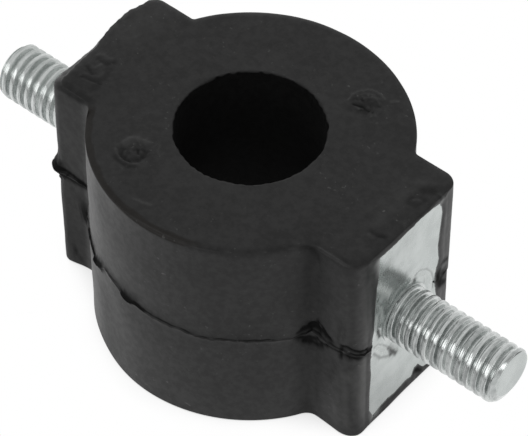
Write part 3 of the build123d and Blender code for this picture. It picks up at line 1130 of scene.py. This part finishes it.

# %% [markdown]
# Where the skin is torn or dusty could be painted on an image, but that needs an unwrapped
# mesh. Here the tones of the strokes become masks, one value per point, that the material
# reads by name, so they lie exactly on the marks. Sheen is the smooth moulded skin, which
# is missing where rubber was torn, and it is also turned down as painted shade wherever a
# stroke or the parting line paints shade. Dust is what lies on the skin, and the same mask
# carries the painted highlights of the strokes. A third mask, thin, marks where the film
# over the plate lets the metal through. At the front, smears of it lie on the plate's
# corners.

# %% Masks of torn skin and painted shade, of dust and painted highlights, and of thin film
DARK_TONE_SHEEN_LOSS = 0.95
SMEARS = [
    (0.4, 0, 0.7, (-4.55, 11.2), (-4.3, 10.3)), (0.4, 0, 0.7, (-4.6, -11.3), (-3.9, -11.2)),
    (0.35, 0, 0.6, (4.8, 11.5)),
    (0.3, 0, 0.25, (5.6, 1.3), (6, 1.8)),
]
x, y, z = body_points.T
at_front = x > END_FACE - 0.6
point_tone = np.zeros(len(body_points))
point_tone[:GRID_POINTS] = section_tone.ravel()
point_tone = np.clip(point_tone + at_front * draw_strokes(y, z, END_STROKES)[1], -1, 1)
# Dark tones take the coat away: torn rubber, and painted shade.
sheen = 1 - DARK_TONE_SHEEN_LOSS * np.clip(-point_tone, 0, 1)
# Light tones: real dust, and painted highlights.
dust = np.clip(point_tone, 0, 1)
thin = np.clip(np.concatenate(thinness) + at_front * draw_strokes(y, z, SMEARS)[1], 0, 1)
print(f"torn share of the points: {(sheen < 0.5).mean() * 100:.1f}%")

# %% [markdown]
# An olive tinge runs along the near left of the ring's bevelled edge, and there the coat is
# turned down as painted shade that dims the edge's highlight. The sheen is weaker in some
# places too. In the hollow beside the front pad, and on the rear pad's near side, which the
# ring shades, this is painted shade. A few soft patches are simply darker. Each patch is
# written as its angle round the ring, its width in degrees, the share of sheen that it
# takes, and the heights between which it sets in. On the top face the coat is also turned
# down, painted shade that keeps it darker than the surround overhead would light it.

# %% Masks of the olive tinge, of duller skin and of painted shade
DULL_PATCHES = [
    (-114, 8, 0.25, -1, -4),
    (-113, 5, 0.13, 1, 4),
    (-37, 4, 0.12, 1, 4),
    (-18, 1.3, 0.11, 1, 4),
]
TINGE_RADIUS = 14.86

turned = np.degrees(np.arctan2(y, x))
reach = np.hypot(x, y)
inner_line = TINGE_RADIUS + 0.06 * ripple(body_points[:, :2], 2.5, 62)
lowest = 12.1 - 0.25 * smooth(turned, -112, -96) * (1 - smooth(turned, -76, -66))
# The olive mask tints the edge and also turns its coat down, painted shade that dims the edge's
# highlight.
olive = smooth(turned, -153, -148) * (1 - smooth(turned, -76, -62))
olive *= smooth(reach, inner_line, inner_line + 0.12) * smooth(z, lowest - 0.1, lowest)

# Painted shade in the hollow beside the front pad and on the rear pad's near side.
dull_and_shade = bell(turned, -29.5, 4.5) * (0.30 + 0.10 * smooth(z, -4, 4))
rear_pad_shade = (1 - smooth(turned, -153.5, -152.5)) * smooth(-y, 6.5, 7.3)
dull_and_shade += rear_pad_shade * (0.50 - 0.14 * smooth(z, -2, 2))
for angle, width, share, from_height, to_height in DULL_PATCHES:
    dull_and_shade += share * bell(turned, angle, width) * smooth(z, from_height, to_height)
on_outside = (np.abs(z) < EDGE_HEIGHT) & (reach > 12)
matt_edge = smooth(z, 11.2, 11.9) * smooth(-x, 13.0, 14.0) * smooth(-y, 6.3, 6.9)
# On the top face the coat is turned down as painted shade, keeping the top darker than the bright
# surround overhead would light it.
sheen *= (1 - dull_and_shade * on_outside) * (1 - 0.20 * smooth(z, 11.9, 12.2)) * (1 - 0.22 * matt_edge)

for name, values in (("sheen", sheen), ("dust", dust), ("olive", olive), ("thin", thin)):
    write_mask(rubber, name, values)
print(f"mean sheen: {sheen.mean():.2f}")

# %% [markdown]
# ## Finishes
# Four effects are shared: a fine grain, a slow cloudy mottle, specks of dust, and the fine
# streaks of a rolled thread. They could be copied into each material, but a node group is
# built once and placed in each material with its own values. A group only works out values.
# The shader itself stays in each material, where its fixed numbers are set on its own
# sockets.

# %% Helpers for nodes and node groups


def feed(tree, socket, value):
    """Link a socket to another node's output, or set its own number or colour."""
    if isinstance(value, bpy.types.NodeSocket):
        tree.links.new(value, socket)
    elif socket.type == "RGBA":
        socket.default_value = (*value, 1.0)
    else:
        socket.default_value = value


def add_node(tree, kind, inputs=(), **settings):
    node = tree.nodes.new("ShaderNode" + kind)
    for label, value in settings.items():
        setattr(node, label, value)
    for socket, value in dict(inputs).items():
        feed(tree, node.inputs[socket], value)
    return node


def combine(tree, operation, first, second):
    return add_node(tree, "Math", {0: first, 1: second}, operation=operation).outputs[0]


def times(tree, first, second):
    return combine(tree, "MULTIPLY", first, second)


def minus(tree, first, second):
    return combine(tree, "SUBTRACT", first, second)


def larger(tree, first, second):
    return combine(tree, "MAXIMUM", first, second)


def noise(tree, vector, scale, detail=2.0, roughness=0.5):
    inputs = {"Vector": vector, "Scale": scale, "Detail": detail, "Roughness": roughness}
    return add_node(tree, "TexNoise", inputs).outputs["Fac"]


def ease(tree, value, low, high, to_low=0.0, to_high=1.0):
    """A soft step: to_low below low, to_high above high."""
    inputs = {"Value": value, "From Min": low, "From Max": high, "To Min": to_low, "To Max": to_high}
    return add_node(tree, "MapRange", inputs, interpolation_type="SMOOTHSTEP").outputs["Result"]


def mix_colours(tree, share, first, second):
    return add_node(tree, "Mix", {0: share, 6: first, 7: second}, data_type="RGBA").outputs[2]


def new_group(name, output, **inputs):
    """A node group with number inputs, their defaults, and one output."""
    group = bpy.data.node_groups.new(name, "ShaderNodeTree")
    for label, default in inputs.items():
        socket = group.interface.new_socket(label, in_out="INPUT", socket_type="NodeSocketFloat")
        socket.default_value = default
    group.interface.new_socket(output, in_out="OUTPUT", socket_type="NodeSocketFloat")
    start = group.nodes.new("NodeGroupInput").outputs
    end = group.nodes.new("NodeGroupOutput").inputs[output]
    place = add_node(group, "TexCoord").outputs["Object"]
    return group, start, end, place


print("node helpers ready")

# %% Shared effects: grain, mottle, dust specks and streaks
PER_MM = 1 / MM


def build_grain():
    """Fine grain of a given size in millimetres, as a height for bumps."""
    group, start, end, place = new_group("surface_grain", "Height", Size=0.1, Unevenness=0.5)
    scale = combine(group, "DIVIDE", PER_MM, start["Size"])
    fine = noise(group, place, scale, 3.0, 0.6)
    slow = noise(group, place, times(group, scale, 0.13))
    swing = times(group, ease(group, slow, 0.3, 0.7), start["Unevenness"])
    feed(group, end, times(group, minus(group, fine, 0.5), minus(group, 1.0, swing)))
    return group


def build_mottle():
    """Slow cloudy variation of a given size in millimetres, as a mask from 0 to 1."""
    group, start, end, place = new_group("cloudy_mottle", "Mask", Size=3.0, Contrast=0.5)
    cloud = noise(group, place, combine(group, "DIVIDE", PER_MM, start["Size"]), 5.0, 0.6)
    half = times(group, start["Contrast"], 0.5)
    low = minus(group, 0.5, minus(group, 0.52, half))
    feed(group, end, ease(group, cloud, low, minus(group, 1.0, low)))
    return group


def build_specks():
    """Small uneven specks of a given size in millimetres, in loose clusters, as a mask."""
    group, start, end, place = new_group("dust_specks", "Mask", Size=0.25, Amount=0.5)
    scale = combine(group, "DIVIDE", PER_MM, start["Size"])
    fine = noise(group, place, scale)
    slow = noise(group, place, times(group, scale, 0.09))
    low = minus(group, 0.70, times(group, start["Amount"], 0.12))
    spot = ease(group, fine, low, combine(group, "ADD", low, 0.16))
    feed(group, end, times(group, spot, ease(group, slow, 0.42, 0.68)))
    return group


def build_streaks():
    """Streaks that run round a stud, of a given width in millimetres, as a mask from 0 to 1."""
    group, start, end, place = new_group("rolled_streaks", "Mask", Width=0.1, Stretch=0.07)
    ratio = add_node(group, "CombineXYZ", {"X": 1.0, "Y": start["Stretch"], "Z": start["Stretch"]})
    inputs = {0: place, 1: ratio.outputs[0]}
    squeezed = add_node(group, "VectorMath", inputs, operation="MULTIPLY").outputs[0]
    scale = combine(group, "DIVIDE", PER_MM, start["Width"])
    feed(group, end, noise(group, squeezed, scale, 3.0, 0.6))
    return group


GRAIN, MOTTLE, SPECKS, STREAKS = build_grain(), build_mottle(), build_specks(), build_streaks()
print("groups:", ", ".join(g.name for g in (GRAIN, MOTTLE, SPECKS, STREAKS)))

# %% Helpers that place a group and start a material


def effect(tree, group, **values):
    """Place a shared effect with its own values, and return what it puts out."""
    return add_node(tree, "Group", values, node_tree=group).outputs[0]


def new_material(name):
    material = bpy.data.materials.new(name)
    material.use_nodes = True
    tree = material.node_tree
    return material, tree, tree.nodes["Principled BSDF"]


def add_bump(tree, shader, height, distance_mm, strength):
    inputs = {"Distance": distance_mm * MM, "Strength": strength, "Height": height}
    feed(tree, shader.inputs["Normal"], add_node(tree, "Bump", inputs).outputs["Normal"])


def read_mask(tree, name):
    return add_node(tree, "Attribute", attribute_name=name).outputs["Fac"]


print("material helpers ready")

# %% [markdown]
# ### Black rubber
# Carbon black makes the rubber nearly black all through. What the eye reads is its skin: a
# broad, weak sheen from the face of the mould and a film of wax. One dark colour with one
# gloss all over would pass for plastic. Here the skin is a rough coat over a dull black
# base. It is cloudy, it carries dust, and it is missing wherever the flash was torn and,
# partly as painted shade, in the bore. The coat is also turned down as painted shade in
# hollows, on the top face and along some edges, and the pale dust colour also paints
# highlights.

# %% Black rubber
BLACK, SOFT_BLACK = (0.0035, 0.0035, 0.0035), (0.0065, 0.0065, 0.0064)
OLIVE = (0.0098, 0.0080, 0.0064)
DUST_AND_LIGHT_GREY = (0.085, 0.085, 0.083)
BARE_METAL = (0.30, 0.31, 0.305)


def build_rubber():
    material, tree, shader = new_material("black_rubber_finish")
    mottle = effect(tree, MOTTLE, Size=0.7, Contrast=0.6)
    cloud = effect(tree, MOTTLE, Size=6.0, Contrast=0.5)
    grain = effect(tree, GRAIN, Size=0.16, Unevenness=0.5)
    specks = effect(tree, SPECKS, Size=0.42, Amount=0.46)
    sheen, dust, olive = (read_mask(tree, name) for name in ("sheen", "dust", "olive"))

    base = mix_colours(tree, mottle, BLACK, SOFT_BLACK)
    base = mix_colours(tree, times(tree, olive, 0.8), base, OLIVE)
    # The pale grey is real dust, and where the strokes paint light it is a painted highlight.
    dust_and_light_share = larger(tree, specks, times(tree, dust, 0.7))
    base = mix_colours(tree, times(tree, dust_and_light_share, sheen), base, DUST_AND_LIGHT_GREY)
    base = mix_colours(tree, read_mask(tree, "thin"), base, BARE_METAL)
    feed(tree, shader.inputs["Base Color"], base)

    film = ease(tree, mottle, 0.0, 1.0, 0.84, 1.0)
    film = times(tree, film, ease(tree, cloud, 0.0, 1.0, 0.92, 1.0))
    # Along the olive edge the coat is turned down, painted shade that dims the edge's highlight.
    film = times(tree, film, ease(tree, olive, 0.0, 1.0, 1.0, 0.62))
    # The coat follows the sheen mask, so it is missing on torn rubber and as painted shade.
    feed(tree, shader.inputs["Coat Weight"], times(tree, film, sheen))
    shader.inputs["Coat Roughness"].default_value = 0.45
    shader.inputs["Roughness"].default_value = 0.8
    shader.inputs["Specular IOR Level"].default_value = 0.06
    add_bump(tree, shader, grain, 0.05, 0.6)
    return material


rubber_finish = build_rubber()
rubber.data.materials.append(rubber_finish)
print(f"{rubber_finish.name}: {len(rubber_finish.node_tree.nodes)} nodes")

# %% [markdown]
# ### Zinc plating
# Bright zinc is a cool, slightly green grey. A single grey metal would look like foil,
# because real plating is never one tone. On the plate it is cloudy from handling and from
# the hot mould, on the thread it is brighter, with the fine streaks of rolling. Two masks
# on the points add to it. Stain darkens the pits and scratches, and beside the stud on the
# plate it is painted shade. Haze, a chalky bloom, takes the place of bare metal, and it also
# paints light: a painted highlight beside the stud on the plate, and a paler upper side on
# each stud. The two finishes differ only in their numbers, so one function builds both.

# %% Zinc on the plates and on the studs
BLOOM = (0.60, 0.64, 0.62)
PLATE_LOOK = {
    "dark": (0.47, 0.50, 0.49),
    "light": (0.54, 0.57, 0.56),
    "mottle_size": 2.4,
    "grain_size": 0.35,
    "smoothest": 0.20,
    "roughest": 0.30,
    "bump_mm": 0.015,
    "streaked": 0.0,
}
THREAD_LOOK = {
    "dark": (0.36, 0.38, 0.375),
    "light": (0.84, 0.86, 0.855),
    "mottle_size": 0.6,
    "grain_size": 0.16,
    "smoothest": 0.12,
    "roughest": 0.28,
    "bump_mm": 0.030,
    "streaked": 0.7,
}


def build_zinc(name, dark, light, mottle_size, grain_size, smoothest, roughest, bump_mm, streaked):
    material, tree, shader = new_material(name)
    mottle = effect(tree, MOTTLE, Size=mottle_size, Contrast=0.6)
    grain = effect(tree, GRAIN, Size=grain_size, Unevenness=0.6)
    specks = effect(tree, SPECKS, Size=0.3, Amount=0.3)
    streaks = effect(tree, STREAKS, Width=0.30, Stretch=0.06)
    lines = times(tree, ease(tree, streaks, 0.41, 0.59), streaked)
    clear = times(tree, mottle, 1.0 - streaked)
    base = mix_colours(tree, combine(tree, "ADD", clear, lines), dark, light)
    base = mix_colours(tree, times(tree, specks, 0.3), base, [c * 0.5 for c in dark])
    base = mix_colours(tree, read_mask(tree, "stain"), base, [c * 0.12 for c in dark])
    # Haze is a chalky bloom, and on the studs' upper sides and beside the stud on the plate it is
    # painted light.
    haze = larger(tree, read_mask(tree, "haze"), times(tree, lines, 0.5))
    feed(tree, shader.inputs["Base Color"], mix_colours(tree, haze, base, BLOOM))
    feed(tree, shader.inputs["Roughness"], ease(tree, mottle, 0.0, 1.0, roughest, smoothest))
    feed(tree, shader.inputs["Metallic"], minus(tree, 1.0, haze))
    rough = combine(tree, "ADD", times(tree, grain, 1.0 - streaked), times(tree, streaks, streaked))
    add_bump(tree, shader, rough, bump_mm, 0.7)
    return material


plate_zinc = build_zinc("plate_zinc", **PLATE_LOOK)
thread_zinc = build_zinc("thread_zinc", **THREAD_LOOK)
for piece in (front_face_plate, rear_face_plate):
    piece.data.materials.append(plate_zinc)
for piece in (front_thread, rear_thread):
    piece.data.materials.append(thread_zinc)
    piece.data.materials.append(plate_zinc)
print(f"{thread_zinc.name}: {len(thread_zinc.node_tree.nodes)} nodes")

# %% [markdown]
# ## Floor and light
# The mount stands on a white studio floor. Strong lamps could burn a grey floor out to
# white, but they would bleach the mount as well. So the floor glows plain white to the
# camera and in reflections. Where the mount shades it, the glow is turned down, so the
# contact shadow stays. In reflections the glow is also darker in front of the mount and to
# its near left, a painted shadow of the mount that the studs and the rubber mirror.

# %% Floor
FLOOR_HALF = 2.0
FLOOR_GAP = 0.02
FAR_WAY = (-0.644, 0.765, 0.0)
RIGHT_WAY = (0.765, 0.644, 0.0)
SHADOW_REACH = 5
SHADOW_GREY, PLAIN_WHITE = (0.55, 0.55, 0.55), (1.0, 1.0, 1.0)


def place_along(tree, direction, source="Object"):
    """How far each place lies along a direction."""
    inputs = {0: add_node(tree, "TexCoord").outputs[source], 1: direction}
    return add_node(tree, "VectorMath", inputs, operation="DOT_PRODUCT").outputs["Value"]


def build_floor():
    h = FLOOR_HALF / MM
    z = -HALF_HEIGHT - FLOOR_GAP
    corners = [(-h, -h, z), (h, -h, z), (h, h, z), (-h, h, z)]
    floor = make_piece("studio_floor", corners, [(0, 1, 2, 3)])
    material, tree, shader = new_material("white_floor")
    shader.inputs["Base Color"].default_value = (0.8, 0.8, 0.8, 1)
    shader.inputs["Roughness"].default_value = 0.9
    shader.inputs["Specular IOR Level"].default_value = 0.1
    shade = add_node(tree, "AmbientOcclusion", {"Distance": SHADOW_REACH * MM}, samples=8)
    grey = mix_colours(tree, ease(tree, shade.outputs["AO"], 0.0, 0.7), SHADOW_GREY, PLAIN_WHITE)
    # Reflected glow is darker in front of the mount and to its near left: a painted shadow of the
    # mount.
    behind = ease(tree, place_along(tree, FAR_WAY), -0.035, 0.015, 0.15, 0.90)
    to_right = ease(tree, place_along(tree, RIGHT_WAY), 0.008, 0.024)
    mirrored_glow_with_shadow = ease(tree, larger(tree, behind, to_right), 0.0, 1.0, 0.54, 0.98)
    path = add_node(tree, "LightPath").outputs
    level = add_node(tree, "Mix", {0: path["Is Camera Ray"], 2: mirrored_glow_with_shadow, 3: 1.0}).outputs[0]
    glow = add_node(tree, "Emission", {"Color": grey, "Strength": level})
    seen = larger(tree, path["Is Camera Ray"], path["Is Glossy Ray"])
    seen = larger(tree, seen, path["Is Transmission Ray"])
    mix = add_node(tree, "MixShader", {0: seen, 1: shader.outputs[0], 2: glow.outputs[0]})
    feed(tree, tree.nodes["Material Output"].inputs["Surface"], mix.outputs[0])
    floor.data.materials.append(material)
    return floor


floor = build_floor()

# %% [markdown]
# A picture of a studio could light the mount, but a few nodes are enough, and each can be
# tuned by itself. The surround is a bright backdrop behind the mount that fades to a dim
# studio over and in front of it. That is what shapes dark rubber: slopes that face away
# mirror the backdrop and turn light, slopes that face the camera stay dark. A grey card low
# at the near left keeps the near side dark, and a paler panel hangs overhead. Metal shows
# only what it mirrors, so a large soft box at the front left and a small one at the front
# right give the thread's crests their glints.

# %% World
# Pairs (place, brightness), from behind the camera (0) to straight behind the mount (1). The
# first two pairs are the ends, which a new ramp already has.
BACKDROP_LEVELS = (
    (0.0, 0.50), (1.0, 1.0), (0.50, 0.50), (0.64, 0.54), (0.74, 0.72), (0.86, 0.76), (0.94, 0.64),
)
CARD_GREY, PANEL_GREY = (0.20, 0.20, 0.20), (0.66, 0.66, 0.66)
X_WAY, Y_WAY, Z_WAY = (1.0, 0.0, 0.0), (0.0, 1.0, 0.0), (0.0, 0.0, 1.0)

world = bpy.data.worlds.new("studio_world")
world.use_nodes = True
bpy.context.scene.world = world
tree = world.node_tree
ramp = add_node(tree, "ValToRGB")
stops = ramp.color_ramp.elements
for k, (position, level) in enumerate(BACKDROP_LEVELS):
    stop = stops[k] if k < 2 else stops.new(position)
    stop.position = position
    stop.color = (level, level, level, 1)
share = times(tree, place_along(tree, FAR_WAY, "Generated"), 0.5)
feed(tree, ramp.inputs[0], combine(tree, "ADD", share, 0.5))
forward, across, upward = (place_along(tree, way, "Generated") for way in (X_WAY, Y_WAY, Z_WAY))
card = times(tree, ease(tree, across, -0.72, -0.60, 1.0, 0.0), ease(tree, upward, 0.14, 0.26, 1.0, 0.0))
card = times(tree, card, ease(tree, forward, -0.05, 0.15, 1.0, 0.0))
surround = mix_colours(tree, card, ramp.outputs[0], CARD_GREY)
surround = mix_colours(tree, ease(tree, upward, 0.80, 0.92), surround, PANEL_GREY)
seen = add_node(tree, "LightPath").outputs["Is Camera Ray"]
background = tree.nodes["Background"]
feed(tree, background.inputs["Color"], mix_colours(tree, seen, surround, PLAIN_WHITE))
background.inputs["Strength"].default_value = 1.0
print(f"world: {len(tree.nodes)} nodes")

# %% Soft boxes


def soft_box(name, azimuth, rise, distance, width, height, brightness):
    """An area lamp of a given radiance, seen from the mount at an azimuth and a rise."""
    lamp = bpy.data.lights.new(name, "AREA")
    lamp.shape = "RECTANGLE"
    lamp.size, lamp.size_y = width, height
    lamp.energy = brightness * math.pi * width * height
    box = bpy.data.objects.new(name, lamp)
    a, e = math.radians(azimuth), math.radians(rise)
    place = Vector((math.cos(a) * math.cos(e), math.sin(a) * math.cos(e), math.sin(e))) * distance
    box.location = place
    box.rotation_euler = (-place).to_track_quat("-Z", "Y").to_euler()
    bpy.context.scene.collection.objects.link(box)
    print(f"{name}: {lamp.energy:.1f} W")
    return box


soft_box("front_left_box", -119, 31, 1.0, 1.0, 0.50, 1.55)
soft_box("front_right_box", -8, 24, 1.0, 0.35, 0.30, 2.1)

# %% [markdown]
# ## Attach the pieces
# Every piece rides on the mount's one body and takes the place of its CAD node, which is
# hidden. The look is kept plain: Blender's standard view.

# %% Attach the pieces and hide the CAD parts
bpy.context.scene.view_settings.view_transform = "Standard"

PIECES = (
    (rubber, "rubber_body", "black_rubber"),
    (front_face_plate, "front_plate", "zinc_plated_steel"),
    (rear_face_plate, "rear_plate", "zinc_plated_steel"),
    (front_thread, "front_stud", "zinc_plated_steel"),
    (rear_thread, "rear_stud", "zinc_plated_steel"),
)
for piece, node, slot in PIECES:
    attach(piece, "root")
    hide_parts(node)
